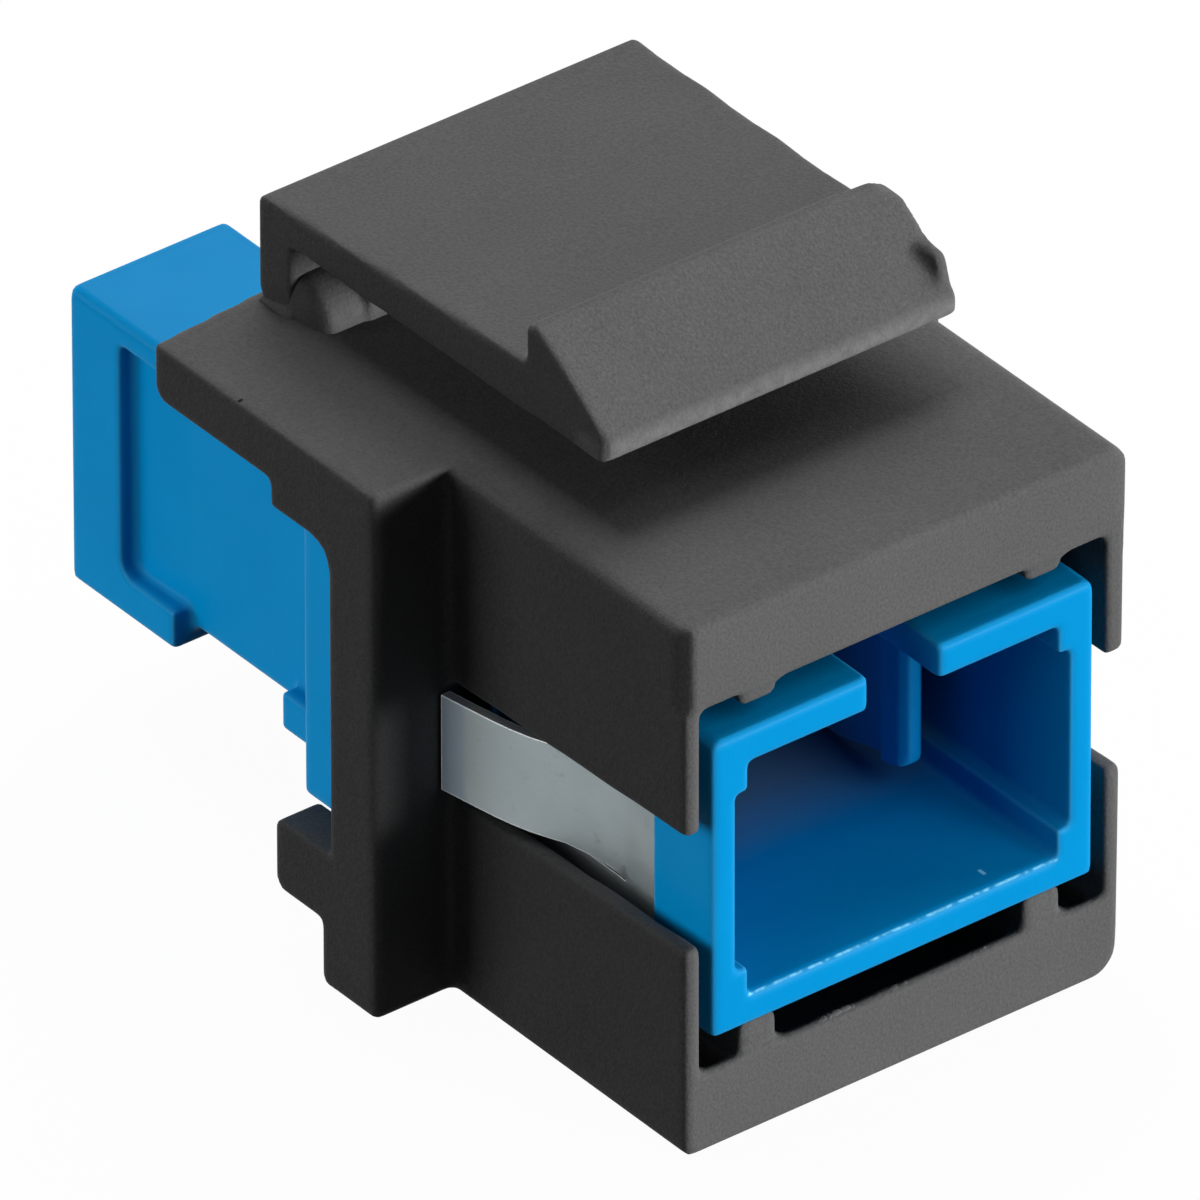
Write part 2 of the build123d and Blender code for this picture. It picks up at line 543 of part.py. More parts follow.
def latch_arm():
    half = ARM_WIDTH_REAR / 2
    arm = extrude(arm_outline(), amount=half, dir=(1, 0, 0), both=True)
    tip = HOUSING_FACE + TIP_SETBACK
    crest = ROOF + ARM_TOP_RIDGE + RIDGE_HEIGHT
    arm = fillet(edges_at(arm, Axis.X, y=near(POST_BACK), z=(ROOF + 1, crest)), ARM_CORNER)
    arm = fillet(edges_at(arm, Axis.X, y=near(tip)), TIP_NOSE * 0.45)
    arm = fillet(edges_at(arm, Axis.X, y=near(HOUSING_FACE + RIDGE_SETBACK), z=near(crest)), RIDGE_TOP * 0.4)
    ridge = HOUSING_FACE + RIDGE_SETBACK
    arm = fillet(edges_at(arm, Axis.X, y=near(ridge), z=near(ROOF + ARM_TOP_RIDGE)), RIDGE_FOOT)
    reach = 2 * HOUSING_FRONT
    trim = (ARM_WIDTH_REAR - ARM_WIDTH_TIP) / 2
    plan = Polyline(
        (half, POST_BACK), (half - trim, tip), (half - trim, tip - 1), (half + reach, tip - 1),
        (half + reach, POST_BACK), close=True
    )
    wedge = Pos(0, 0, ROOF - 2) * extrude(make_face(plan), amount=reach)
    corner = Polyline(
        (-half, tip - 1), (trim - half + TIP_CORNER, tip - 1), (trim - half + TIP_CORNER, tip),
        (trim - half, tip + TIP_CORNER), (-half, tip + TIP_CORNER), close=True
    )
    wedges = both_sides(wedge) + Pos(0, 0, ROOF) * extrude(make_face(corner), amount=reach)
    return Pos(ARM_SHIFT, 0, 0) * (arm - wedges + root_bead()) + ramp_lug() - crest_fall()


def main():
    rear_shell = mirror(half_shell(POCKET_START), about=Plane.XZ)
    holder = front_holder()
    nodes = {
        "keystone_housing": keystone_housing(),
        "latch_arm": latch_arm(),
        "adapter_front_shell": half_shell(CLIP_POCKET_START),
        "adapter_rear_shell": rear_shell,
        "front_sleeve_holder": holder,
        "rear_sleeve_holder": mirror(holder, about=Plane.XZ),
        "alignment_sleeve": alignment_sleeve(),
        "retaining_clip": retaining_clip(),
    }
    os.makedirs("parts", exist_ok=True)
    for name, solid in nodes.items():
        export_step(solid, f"parts/{name}.step")


main()
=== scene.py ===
# %% [markdown]
# # A fibre coupler in its snap-in housing
# The object is a blue square coupler for fibre plugs, clipped into a dark grey housing that snaps
# into a wall plate. It is about 28 mm long. The CAD model gives every solid its true shape, and
# this lesson gives those solids what CAD leaves out: softened edges, moulded grain, a little
# mould flash, spring steel that looks like steel, and light that shows it all.

# %% Load the CAD model
import json
from math import radians

import bmesh
import bpy
from mathutils import Matrix, Vector

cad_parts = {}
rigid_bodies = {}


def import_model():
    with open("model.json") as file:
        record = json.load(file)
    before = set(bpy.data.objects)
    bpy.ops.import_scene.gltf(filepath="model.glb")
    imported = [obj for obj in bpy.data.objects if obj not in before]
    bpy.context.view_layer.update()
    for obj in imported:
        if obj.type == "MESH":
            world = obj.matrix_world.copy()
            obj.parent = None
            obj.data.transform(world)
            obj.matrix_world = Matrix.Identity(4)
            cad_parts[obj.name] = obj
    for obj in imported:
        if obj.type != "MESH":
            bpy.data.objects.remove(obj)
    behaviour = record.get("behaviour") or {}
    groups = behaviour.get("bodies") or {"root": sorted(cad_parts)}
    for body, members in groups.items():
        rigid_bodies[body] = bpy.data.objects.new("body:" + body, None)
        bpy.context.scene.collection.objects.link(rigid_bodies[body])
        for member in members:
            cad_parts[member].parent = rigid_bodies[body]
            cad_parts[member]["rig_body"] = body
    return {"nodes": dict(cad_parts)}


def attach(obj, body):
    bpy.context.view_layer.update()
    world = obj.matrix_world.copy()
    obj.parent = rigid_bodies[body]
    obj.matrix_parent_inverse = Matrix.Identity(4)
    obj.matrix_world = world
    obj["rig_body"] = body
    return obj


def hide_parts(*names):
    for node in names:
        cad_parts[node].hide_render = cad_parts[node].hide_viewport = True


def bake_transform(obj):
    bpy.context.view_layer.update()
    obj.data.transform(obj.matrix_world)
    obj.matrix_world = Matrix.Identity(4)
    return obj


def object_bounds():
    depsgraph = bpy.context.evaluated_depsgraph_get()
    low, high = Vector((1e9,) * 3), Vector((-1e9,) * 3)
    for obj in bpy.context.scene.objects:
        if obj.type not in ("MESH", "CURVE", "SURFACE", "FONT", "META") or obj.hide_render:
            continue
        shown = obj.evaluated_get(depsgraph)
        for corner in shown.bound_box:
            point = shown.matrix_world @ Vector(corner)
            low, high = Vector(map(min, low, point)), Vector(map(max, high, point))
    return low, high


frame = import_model()
MM = 0.001
cad_low, cad_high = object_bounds()
print("CAD box in mm:", [round((high - low) / MM, 2) for low, high in zip(cad_low, cad_high)])

# %% [markdown]
# ## Camera
# The photograph was taken from far away with a long lens, so its edges hardly converge. A camera
# was fitted to corners of the object that can be seen in the picture. Its distance, its two
# angles and its small offsets are written here, and the lens follows from a 36 mm sensor.

# %% Camera
VIEW_AZIMUTH = radians(-37.805)
VIEW_ELEVATION = radians(33.714)
VIEW_ROLL = radians(-0.088)
VIEW_DISTANCE = 1036.3 * MM
VIEW_CENTRE = Vector((0.0, -5.9, 0.0)) * MM
VIEW_RIGHT = 3.067 * MM
VIEW_UP = -2.008 * MM
SENSOR = 36.0
FOCAL_IN_FRAMES = 39343 / 1200
CLIP_NEAR = 0.1
CLIP_FAR = 20


def point_camera():
    """Put a long-lens camera where the photographer stood."""
    from_object = Vector((0, -1, 0))
    from_object.rotate(Matrix.Rotation(-VIEW_ELEVATION, 3, "X"))
    from_object.rotate(Matrix.Rotation(VIEW_AZIMUTH, 3, "Z"))
    right = Vector((0, 0, 1)).cross(from_object).normalized()
    up = from_object.cross(right)
    turned = Matrix.Rotation(VIEW_ROLL, 3, from_object)
    right, up = turned @ right, turned @ up
    place = VIEW_CENTRE + from_object * VIEW_DISTANCE - right * VIEW_RIGHT - up * VIEW_UP
    lens = bpy.data.cameras.new("long_lens")
    lens.sensor_width = SENSOR
    lens.lens = SENSOR * FOCAL_IN_FRAMES
    lens.clip_start = CLIP_NEAR
    lens.clip_end = CLIP_FAR
    camera = bpy.data.objects.new("camera", lens)
    axes = Matrix((right, up, from_object)).transposed().to_4x4()
    camera.matrix_world = Matrix.Translation(place) @ axes
    bpy.context.scene.collection.objects.link(camera)
    bpy.context.scene.camera = camera
    return camera


print("camera stands at", [round(value, 4) for value in point_camera().matrix_world.translation])

# %% [markdown]
# ## Small helpers for materials
# Colours are easiest to read as the hex values of a paint program, but the renderer works in
# linear light, so one function converts them with the sRGB curve. Another adds one shader node
# with its settings and its links, which keeps every material short enough to read.

# %% Helpers for materials
def linear(hex_colour):
    """An sRGB hex colour as the linear RGBA that shaders use."""
    parts = [int(hex_colour[i:i + 2], 16) / 255 for i in (1, 3, 5)]
    return (*[p / 12.92 if p <= 0.04045 else ((p + 0.055) / 1.055) ** 2.4 for p in parts], 1.0)


def node(tree, kind, inputs=None, **settings):
    """Add a node. An input takes a value, or the output that it is linked to."""
    made = tree.nodes.new(kind)
    for name, value in settings.items():
        setattr(made, name, value)
    for name, value in (inputs or {}).items():
        if isinstance(value, bpy.types.NodeSocket):
            tree.links.new(value, made.inputs[name])
        else:
            made.inputs[name].default_value = value
    return made


def per_mm(size):
    """The texture scale at which one cell of a pattern measures size millimetres."""
    return 1 / (size * MM)


def empty_material(name):
    """A new material with no nodes, and its node tree."""
    material = bpy.data.materials.new(name)
    material.use_nodes = True
    material.node_tree.nodes.clear()
    return material, material.node_tree


# %% [markdown]
# ## World
# The background of the photograph is pure white, but a white room would light the object from
# every side and wash out its shadows. So the world shows as white to the camera and in
# reflections, and throws only a trace of light on the object.

# %% World
WHITE = linear("#FFFFFF")
WORLD_LIGHT = 0.012


def seen_directly(tree):
    """1 for the rays that show a background: the camera's, and those in metal and in glass."""
    rays = node(tree, "ShaderNodeLightPath").outputs
    mirrored = node(tree, "ShaderNodeMath", {0: rays["Is Camera Ray"], 1: rays["Is Glossy Ray"]},
                    operation="MAXIMUM").outputs[0]
    return node(tree, "ShaderNodeMath", {0: mirrored, 1: rays["Is Transmission Ray"]},
                operation="MAXIMUM").outputs[0]


world = bpy.data.worlds.new("studio")
world.use_nodes = True
bpy.context.scene.world = world
tree = world.node_tree
tree.nodes.clear()
seen = seen_directly(tree)
dim = node(tree, "ShaderNodeBackground", {"Color": WHITE, "Strength": WORLD_LIGHT})
white = node(tree, "ShaderNodeBackground", {"Color": WHITE, "Strength": 1.0})
both = node(tree, "ShaderNodeMixShader", {0: seen, 1: dim.outputs[0], 2: white.outputs[0]})
node(tree, "ShaderNodeOutputWorld", {"Surface": both.outputs[0]})

# %% [markdown]
# ## Soft lights
# The key is a wide but flat light, low at the front right. Being flat, it reaches little of the
# roof under the latch arm, which stays dark as in the photograph. Weaker lights stand to the
# right, behind and above, and a faint one at the left rear leaves the left sides much darker.
# Each light's level is the share of plain white light that it gives to a face turned towards it,
# so the levels can be read off the picture and added up.

# %% Soft lights
LAMP_DISTANCE = 0.6
LAMP_SIDE = 0.35
# The watts of a light one metre away that make a white face fully white: pi squared.
FULL_POWER = 9.87


def softbox(name, direction, level, width=LAMP_SIDE, height=None):
    """A flat light that gives a face turned towards it that share of plain white light."""
    light = bpy.data.lights.new(name, "AREA")
    light.shape = "RECTANGLE"
    light.size = width
    light.size_y = height or width
    light.energy = level * FULL_POWER * LAMP_DISTANCE ** 2
    lamp = bpy.data.objects.new(name, light)
    away = Vector(direction).normalized()
    turn = away.to_track_quat("Z", "Y").to_matrix().to_4x4()
    lamp.matrix_world = Matrix.Translation(away * LAMP_DISTANCE) @ turn
    bpy.context.scene.collection.objects.link(lamp)
    print(name, "gives", level, "of white light")
    return lamp


softbox("key_softbox", (0.45, -0.85, 0.05), level=1.24, height=0.07)
softbox("right_softbox", (0.9, 0.0, 0.6), level=0.33)
softbox("rear_softbox", (0.5, 0.6, 0.8), level=0.46)
softbox("top_card", (0.0, 0.3, 0.95), level=0.29, width=0.2)
softbox("left_rear_card", (-0.8, 0.55, 0.3), level=0.18)

# %% [markdown]
# ## Floor
# A plain card lies under the object, four metres wide, so that its edges are never in view. Its
# own colour is dark, so that little light comes back from it. A glow that only the camera and
# reflections see makes it white and keeps the object's faint shadow.

# %% Floor
FLOOR_SIDE = 4.0
FLOOR_GLOW = 0.965
FLOOR_CARD = "#343434"
floor_mesh = bpy.data.meshes.new("floor")
half = FLOOR_SIDE / 2
floor_z = cad_low[2]
floor_mesh.from_pydata(
    [(-half, -half, floor_z), (half, -half, floor_z), (half, half, floor_z), (-half, half, floor_z)],
    [], [(0, 1, 2, 3)]
)
floor = bpy.data.objects.new("floor", floor_mesh)
bpy.context.scene.collection.objects.link(floor)
floor_paint, tree = empty_material("white_floor")
seen = seen_directly(tree)
card = node(tree, "ShaderNodeBsdfDiffuse", {"Color": linear(FLOOR_CARD)})
glow = node(tree, "ShaderNodeEmission", {"Color": WHITE, "Strength": FLOOR_GLOW})
lit = node(tree, "ShaderNodeAddShader", {0: card.outputs[0], 1: glow.outputs[0]})
both = node(tree, "ShaderNodeMixShader", {0: seen, 1: card.outputs[0], 2: lit.outputs[0]})
node(tree, "ShaderNodeOutputMaterial", {"Surface": both.outputs[0]})
floor_mesh.materials.append(floor_paint)

# %% [markdown]
# ## Masks for marks and painted light
# Some places are paler or darker than the rest. A few are real marks: specks, a rubbed edge and a
# chip. The others are painted light: painted highlights on edges and on the ramp's lip, and
# painted shade in the sockets and on the clip's tab. Two kinds of mask say where. One compares the
# surface with a rounded copy of itself, and they differ only at edges. The other is a box in the
# object's own coordinates, so it stays on its place when the object turns or the camera moves.

# %% Edges for painted highlights
EDGE_SAMPLES = 4
FULL_EDGE = 0.85


# Every use of this mask paints edges paler: a painted highlight, not wear.
def edge_highlight_mask(tree, radius, strength):
    """Where an edge is: the normal there turns away from that of a rounded copy of the surface."""
    rounded = node(tree, "ShaderNodeBevel", {"Radius": radius * MM}, samples=EDGE_SAMPLES)
    flat = node(tree, "ShaderNodeNewGeometry")
    same = node(tree, "ShaderNodeVectorMath", {0: rounded.outputs[0], 1: flat.outputs["Normal"]},
                operation="DOT_PRODUCT")
    return node(tree, "ShaderNodeMapRange", {
        "Value": same.outputs["Value"], "From Min": 1.0, "From Max": FULL_EDGE,
        "To Min": 0.0, "To Max": strength
    }).outputs[0]


# %% Masks from places
def within(tree, value, centre, half, soft):
    """1 where a coordinate is within half of the centre, fading to 0 over soft, in millimetres."""
    moved = node(tree, "ShaderNodeMath", {0: value, 1: centre * MM}, operation="SUBTRACT")
    size = node(tree, "ShaderNodeMath", {0: moved.outputs[0]}, operation="ABSOLUTE")
    return node(tree, "ShaderNodeMapRange", {
        "Value": size.outputs[0], "From Min": (half + soft) * MM, "From Max": half * MM
    }).outputs[0]


def patch(tree, place, centre, half, soft):
    """1 inside a box of the object's own space, given by its centre, half sizes and soft borders."""
    axes = node(tree, "ShaderNodeSeparateXYZ", {0: place}).outputs
    sides = [within(tree, axes[i], centre[i], half[i], soft[i]) for i in range(3)]
    flat = node(tree, "ShaderNodeMath", {0: sides[0], 1: sides[1]}, operation="MULTIPLY")
    return node(tree, "ShaderNodeMath", {0: flat.outputs[0], 1: sides[2]}, operation="MULTIPLY").outputs[0]


# %% [markdown]
# ## Housing plastic
# The housing is anthracite ABS from a spark-eroded mould. That finish is an even fine grain that
# spreads the light, over a tone that drifts slightly, with a few dark specks of burnt plastic.
# The grain is a bump, because it is far too fine for geometry, and it is drawn a little coarser
# than the real one, so that it shows. The specks are rare Voronoi cells, and the largest has its
# own place on the slab. Edges are painted a little paler, and so is the lower lip of the ramp,
# where thumbs press the latch: both are painted highlights.

# %% Pattern of the housing plastic
BURNT_SPECK = (-9.6, 2.1, 8.45)
RAMP_LIP = (0, -8.2, 10.45)
LIP_HIGHLIGHT = 0.55
SPECK_SPACING = 1.9
SPECK_RADIUS_IN_CELLS = 0.045
CELLS_WITHOUT_SPECK = 0.93
housing_plastic, tree = empty_material("anthracite_abs_spark_eroded")
place = node(tree, "ShaderNodeTexCoord").outputs["Object"]
drift = node(tree, "ShaderNodeTexNoise", {"Vector": place, "Scale": per_mm(4), "Detail": 3})
grain = node(tree, "ShaderNodeTexNoise", {
    "Vector": place, "Scale": per_mm(0.1), "Detail": 3, "Roughness": 0.65
})
mottle = node(tree, "ShaderNodeTexNoise", {"Vector": place, "Scale": per_mm(0.32), "Detail": 3})
tone = node(tree, "ShaderNodeMix", {
    0: drift.outputs["Fac"], 6: linear("#5A5A5A"), 7: linear("#646464")
}, data_type="RGBA")
salt = node(tree, "ShaderNodeMapRange", {
    "Value": grain.outputs["Fac"], "From Min": 0.25, "From Max": 0.75, "To Min": 0.8, "To Max": 1.2
})
grained = node(tree, "ShaderNodeVectorMath", {0: tone.outputs[2], "Scale": salt.outputs[0]},
               operation="SCALE")
speck = node(tree, "ShaderNodeTexVoronoi", {"Vector": place, "Scale": per_mm(SPECK_SPACING)})
rare = node(tree, "ShaderNodeSeparateColor", {"Color": speck.outputs["Color"]})
chosen = node(tree, "ShaderNodeMath", {0: rare.outputs[0], 1: CELLS_WITHOUT_SPECK},
              operation="GREATER_THAN")
near_speck = node(tree, "ShaderNodeMath", {0: speck.outputs["Distance"], 1: SPECK_RADIUS_IN_CELLS},
                  operation="LESS_THAN")
spot = node(tree, "ShaderNodeMath", {0: chosen.outputs[0], 1: near_speck.outputs[0]},
            operation="MULTIPLY")

# %% Colour, painted highlights and skin of the housing plastic
specked = node(tree, "ShaderNodeMix", {
    0: spot.outputs[0], 6: grained.outputs[0], 7: linear("#141414")
}, data_type="RGBA")
burnt = patch(tree, place, BURNT_SPECK, half=(0.05, 0.03, 0.1), soft=(0.04, 0.03, 0.1))
burnt_too = node(tree, "ShaderNodeMix", {
    0: burnt, 6: specked.outputs[2], 7: linear("#0A0A0A")
}, data_type="RGBA")
# The ramp's lower lip is painted paler: a painted highlight.
lip_highlight_mask = patch(tree, place, RAMP_LIP, half=(6.6, 0.6, 0.35), soft=(0.4, 0.4, 0.35))
uneven = node(tree, "ShaderNodeMath", {0: lip_highlight_mask, 1: mottle.outputs["Fac"]}, operation="MULTIPLY")
faint = node(tree, "ShaderNodeMath", {0: uneven.outputs[0], 1: LIP_HIGHLIGHT}, operation="MULTIPLY")
# Edges painted paler: a painted highlight.
edges = edge_highlight_mask(tree, radius=0.09, strength=0.35)
lightened = node(tree, "ShaderNodeMath", {0: faint.outputs[0], 1: edges}, operation="MAXIMUM")
colour = node(tree, "ShaderNodeMix", {
    0: lightened.outputs[0], 6: burnt_too.outputs[2], 7: linear("#9A9A9A")
}, data_type="RGBA")
rough = node(tree, "ShaderNodeMapRange", {
    "Value": mottle.outputs["Fac"], "To Min": 0.5, "To Max": 0.66
})
fine = node(tree, "ShaderNodeBump", {
    "Height": grain.outputs["Fac"], "Strength": 0.8, "Distance": 0.03 * MM
})
wavy = node(tree, "ShaderNodeBump", {
    "Height": mottle.outputs["Fac"], "Normal": fine.outputs[0], "Strength": 0.3, "Distance": 0.04 * MM
})
skin = node(tree, "ShaderNodeBsdfPrincipled", {
    "Base Color": colour.outputs[2], "Roughness": rough.outputs[0], "Normal": wavy.outputs[0],
    "IOR": 1.54, "Specular IOR Level": 0.03
})
node(tree, "ShaderNodeOutputMaterial", {"Surface": skin.outputs[0]})
print(housing_plastic.name, "has", len(tree.nodes), "nodes")

# %% [markdown]
# ## Coupler plastic
# The coupler is blue PBT. It is smoother than the housing and slightly translucent: light that
# enters a wall comes out again nearby, which keeps its shaded sides bright. Subsurface
# scattering with a radius close to the wall thickness does that. Deep in the sockets the blue is
# painted darker and then greyer: painted shade. Its edges are painted paler: a painted highlight.
# Plugs have rubbed the lower edge of the mouth pale, and left one small chip on the socket's floor.

# %% Colour and painted socket shade of the coupler plastic
SOCKET_FLOOR = -3.7
MOUTH = -13.9
CENTRE = (0, 0, 0)
CHIP = (3.21, -13.14, SOCKET_FLOOR)
RUBBED_EDGE = (0, MOUTH + 0.02, SOCKET_FLOOR - 0.02)
coupler_plastic, tree = empty_material("blue_pbt_moulded")
place = node(tree, "ShaderNodeTexCoord").outputs["Object"]
drift = node(tree, "ShaderNodeTexNoise", {"Vector": place, "Scale": per_mm(3), "Detail": 3})
grain = node(tree, "ShaderNodeTexNoise", {"Vector": place, "Scale": per_mm(0.1), "Detail": 2})
ripple = node(tree, "ShaderNodeTexNoise", {"Vector": place, "Scale": per_mm(0.9), "Detail": 2})
tone = node(tree, "ShaderNodeMix", {
    0: drift.outputs["Fac"], 6: linear("#0083C0"), 7: linear("#028BC9")
}, data_type="RGBA")
# Painted shade: darker blue inside the sockets, and greyer blue deeper in, as they look in shadow.
inside = patch(tree, place, CENTRE, half=(5.5, 8.0, 4.0), soft=(0.1, 5.2, 0.1))
shaded = node(tree, "ShaderNodeMix", {0: inside, 6: tone.outputs[2], 7: linear("#0077BC")},
              data_type="RGBA")
deep = patch(tree, place, CENTRE, half=(5.5, 6.4, 4.0), soft=(0.1, 2.6, 0.1))
deep_shade = node(tree, "ShaderNodeMix", {0: deep, 6: shaded.outputs[2], 7: linear("#4F79A4")},
              data_type="RGBA")

# %% Wear, painted highlights and skin of the coupler plastic
rubbed = patch(tree, place, RUBBED_EDGE, half=(5.1, 0.08, 0.02), soft=(0.1, 0.04, 0.04))
broken = node(tree, "ShaderNodeTexNoise", {"Vector": place, "Scale": per_mm(0.25), "Detail": 4})
kept = node(tree, "ShaderNodeMapRange", {
    "Value": broken.outputs["Fac"], "From Min": 0.4, "From Max": 0.62, "To Min": 0.1, "To Max": 1.0
})
rub = node(tree, "ShaderNodeMath", {0: rubbed, 1: kept.outputs[0]}, operation="MULTIPLY")
chip = patch(tree, place, CHIP, half=(0.04, 0.1, 0.1), soft=(0.03, 0.06, 0.05))
pale = node(tree, "ShaderNodeMath", {0: rub.outputs[0], 1: chip}, operation="MAXIMUM")
# Edges painted paler: a painted highlight. The rubbed edge and the chip above are real wear.
edges = edge_highlight_mask(tree, radius=0.12, strength=0.7)
lightened = node(tree, "ShaderNodeMath", {0: pale.outputs[0], 1: edges}, operation="MAXIMUM")
colour = node(tree, "ShaderNodeMix", {
    0: lightened.outputs[0], 6: deep_shade.outputs[2], 7: linear("#7FD4FA")
}, data_type="RGBA")
rough = node(tree, "ShaderNodeMapRange", {
    "Value": ripple.outputs["Fac"], "To Min": 0.34, "To Max": 0.46
})
fine = node(tree, "ShaderNodeBump", {
    "Height": grain.outputs["Fac"], "Strength": 0.4, "Distance": 0.01 * MM
})
wavy = node(tree, "ShaderNodeBump", {
    "Height": ripple.outputs["Fac"], "Normal": fine.outputs[0], "Strength": 0.2, "Distance": 0.02 * MM
})
skin = node(tree, "ShaderNodeBsdfPrincipled", {
    "Base Color": colour.outputs[2], "Roughness": rough.outputs[0], "Normal": wavy.outputs[0],
    "IOR": 1.54, "Specular IOR Level": 0.03,
    "Subsurface Weight": 0.06, "Subsurface Radius": (0.1, 0.5, 1.0), "Subsurface Scale": 0.3 * MM
})
node(tree, "ShaderNodeOutputMaterial", {"Surface": skin.outputs[0]})
print(coupler_plastic.name, "has", len(tree.nodes), "nodes")

# %% [markdown]
# ## Spring steel
# The clip is stamped from cold-rolled strip. Rolling leaves fine streaks along the strip, which
# runs round the coupler, so the streaks follow Y on its sides. They are drawn wider than real
# ones, so that they show. It is a metal with a satin gloss and a few brown stains. The tip of
# its tab is painted darker and bluer, as painted shade, and its edges are painted bright, as a
# painted highlight.

# %% Spring steel
TAB_TIP = (-7.5, -3.9, 0)
clip_steel, tree = empty_material("rolled_spring_steel")
place = node(tree, "ShaderNodeTexCoord").outputs["Object"]
along = node(tree, "ShaderNodeMapping", {"Vector": place, "Scale": (1.0, 0.12, 1.0)})
streak = node(tree, "ShaderNodeTexNoise", {
    "Vector": along.outputs[0], "Scale": per_mm(0.1), "Detail": 3
})
cloud = node(tree, "ShaderNodeTexNoise", {"Vector": place, "Scale": per_mm(1.6), "Detail": 2})
tone = node(tree, "ShaderNodeMix", {
    0: cloud.outputs["Fac"], 6: linear("#798284"), 7: linear("#899193")
}, data_type="RGBA")
smudge = node(tree, "ShaderNodeTexNoise", {
    "Vector": place, "Scale": per_mm(0.5), "Detail": 4, "Roughness": 0.7
})
stain = node(tree, "ShaderNodeMapRange", {
    "Value": smudge.outputs["Fac"], "From Min": 0.6, "From Max": 0.75, "To Min": 0.0, "To Max": 0.35
})
stained = node(tree, "ShaderNodeMix", {
    0: stain.outputs[0], 6: tone.outputs[2], 7: linear("#5E5F58")
}, data_type="RGBA")
# The tab's tip is painted darker and bluer: painted shade.
tip = patch(tree, place, TAB_TIP, half=(1.0, 0.72, 3.0), soft=(0.1, 0.2, 0.1))
tip_in_shade = node(tree, "ShaderNodeMix", {0: tip, 6: stained.outputs[2], 7: linear("#77828C")},
              data_type="RGBA")
# Edges painted almost white: a painted highlight.
bright = edge_highlight_mask(tree, radius=0.06, strength=1.0)
colour = node(tree, "ShaderNodeMix", {0: bright, 6: tip_in_shade.outputs[2], 7: linear("#F2F2EE")},
              data_type="RGBA")
rough = node(tree, "ShaderNodeMapRange", {
    "Value": streak.outputs["Fac"], "To Min": 0.5, "To Max": 0.64
})
lines = node(tree, "ShaderNodeBump", {
    "Height": streak.outputs["Fac"], "Strength": 0.3, "Distance": 0.004 * MM
})
skin = node(tree, "ShaderNodeBsdfPrincipled", {
    "Base Color": colour.outputs[2], "Roughness": rough.outputs[0], "Normal": lines.outputs[0],
    "Metallic": 1.0
})
node(tree, "ShaderNodeOutputMaterial", {"Surface": skin.outputs[0]})
print(clip_steel.name, "has", len(tree.nodes), "nodes")

# %% [markdown]
# ## Zirconia
# The alignment sleeve is ground zirconia, a hard off-white ceramic with a clear gloss. Only
# faint grinding rings run round it. Real ones are too fine to see, so these are far wider.

# %% Zirconia
zirconia, tree = empty_material("ground_zirconia")
place = node(tree, "ShaderNodeTexCoord").outputs["Object"]
rings = node(tree, "ShaderNodeTexWave", {
    "Vector": place, "Scale": per_mm(0.9), "Distortion": 2, "Detail": 2
}, bands_direction="Y")
tone = node(tree, "ShaderNodeMix", {
    0: rings.outputs["Fac"], 6: linear("#E9E6DD"), 7: linear("#F1EFE8")
}, data_type="RGBA")
ground = node(tree, "ShaderNodeBump", {
    "Height": rings.outputs["Fac"], "Strength": 0.2, "Distance": 0.002 * MM
})
skin = node(tree, "ShaderNodeBsdfPrincipled", {
    "Base Color": tone.outputs[2], "Roughness": 0.16, "Normal": ground.outputs[0], "IOR": 2.15,
    "Specular IOR Level": 0.5
})
node(tree, "ShaderNodeOutputMaterial", {"Surface": skin.outputs[0]})
print(zirconia.name, "has", len(tree.nodes), "nodes")

# %% [markdown]
# ## Moulded copies of the solids
# No moulded edge is sharp: plastic shrinks, and the mould's own edges are round. A bevel would do
# for a box, but these solids have many short edges beside long ones, where a bevel can be no wider
# than the shortest allows. So the solid is cast again: a fine voxel remesh gives it an even skin,
# a few steps of smoothing round every edge and corner alike, and a second remesh spends
# triangles only where the surface bends.

# %% Helpers for pieces
MERGE_WITHIN = 0.002


def plain_copy(cad_node, name, material):
    """A CAD solid's mesh as a new object, with its loose triangles merged."""
    mesh = frame["nodes"][cad_node].data.copy()
    mesh.name = name
    shape = bmesh.new()
    shape.from_mesh(mesh)
    bmesh.ops.remove_doubles(shape, verts=shape.verts, dist=MERGE_WITHIN * MM)
    shape.to_mesh(mesh)
    shape.free()
    mesh.materials.clear()
    mesh.materials.append(material)
    piece = bpy.data.objects.new(name, mesh)
    bpy.context.scene.collection.objects.link(piece)
    return piece


def settle(piece):
    """Turn what the modifiers make into the piece's own mesh, and drop the modifiers."""
    bpy.context.view_layer.update()
    graph = bpy.context.evaluated_depsgraph_get()
    made = bpy.data.meshes.new_from_object(piece.evaluated_get(graph))
    made.name = piece.data.name + "_made"
    for material in piece.data.materials:
        if material.name not in made.materials:
            made.materials.append(material)
    piece.modifiers.clear()
    piece.data = made
    return piece


def stands_for(piece, cad_node):
    """Move with the solid's body, hide the solid and print how many triangles the piece has."""
    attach(piece, frame["nodes"][cad_node]["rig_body"])
    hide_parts(cad_node)
    print(piece.name, "has", sum(len(face.vertices) - 2 for face in piece.data.polygons), "triangles")
    return piece


# %% Boxes to build with and to cut with
def add_box(shape, x, y, z):
    """A box between pairs of millimetres, added to a bmesh."""
    middle = Vector([(low + high) / 2 for low, high in (x, y, z)]) * MM
    size = Vector([high - low for low, high in (x, y, z)]) * MM
    sides = Matrix.Translation(middle) @ Matrix.Diagonal((*size, 1))
    bmesh.ops.create_cube(shape, size=1, matrix=sides)


